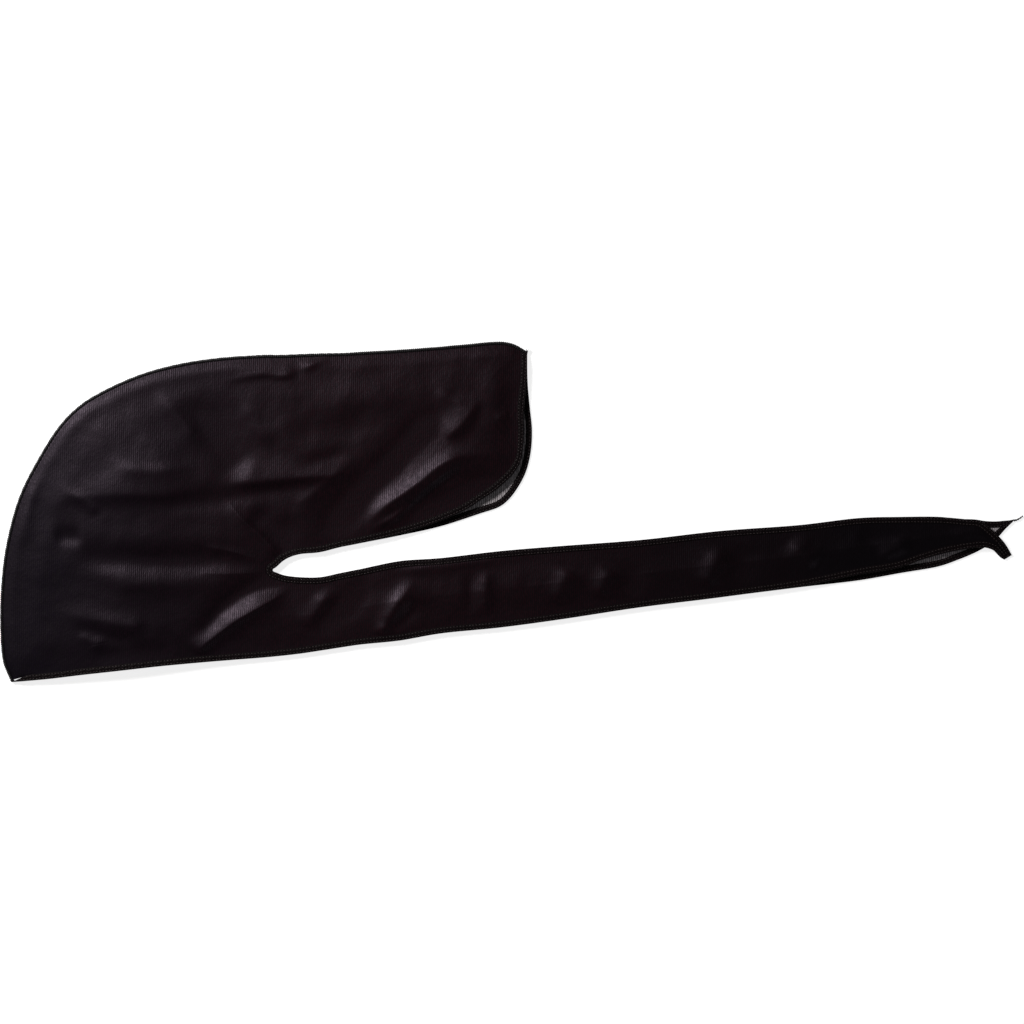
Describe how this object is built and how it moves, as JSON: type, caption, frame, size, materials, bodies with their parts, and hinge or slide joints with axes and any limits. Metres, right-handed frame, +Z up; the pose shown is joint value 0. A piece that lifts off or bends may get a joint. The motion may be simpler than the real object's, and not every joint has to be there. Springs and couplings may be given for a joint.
{
  "type": "durag",
  "caption": "Silky black durag lying folded along its centre seam, with a back flap and two long tapered tails.",
  "frame": {"origin": "under the middle of the whole piece, on the surface that it lies on", "axes": "+X from the forehead edge to the tail tips, +Y from the front hem to the crown seam, +Z up"},
  "size_m": [0.9496, 0.316, 0.0155],
  "materials": {
    "cloth": "silky black satin-faced tricot",
    "hem": "turned and double-stitched black tricot",
    "thread": "black overlock thread"
  },
  "bodies": {
    "root": {"left_side_panel": "cloth", "right_side_panel": "cloth", "left_front_hem": "hem", "right_front_hem": "hem", "left_flap_hem": "hem", "right_flap_hem": "hem", "left_slit_hem": "hem", "right_slit_hem": "hem", "left_tail_upper_hem": "hem", "right_tail_upper_hem": "hem", "left_tail_lower_hem": "hem", "right_tail_lower_hem": "hem", "center_seam": "thread", "right_tail_thread_end": "thread"}
  },
  "joints": []
}
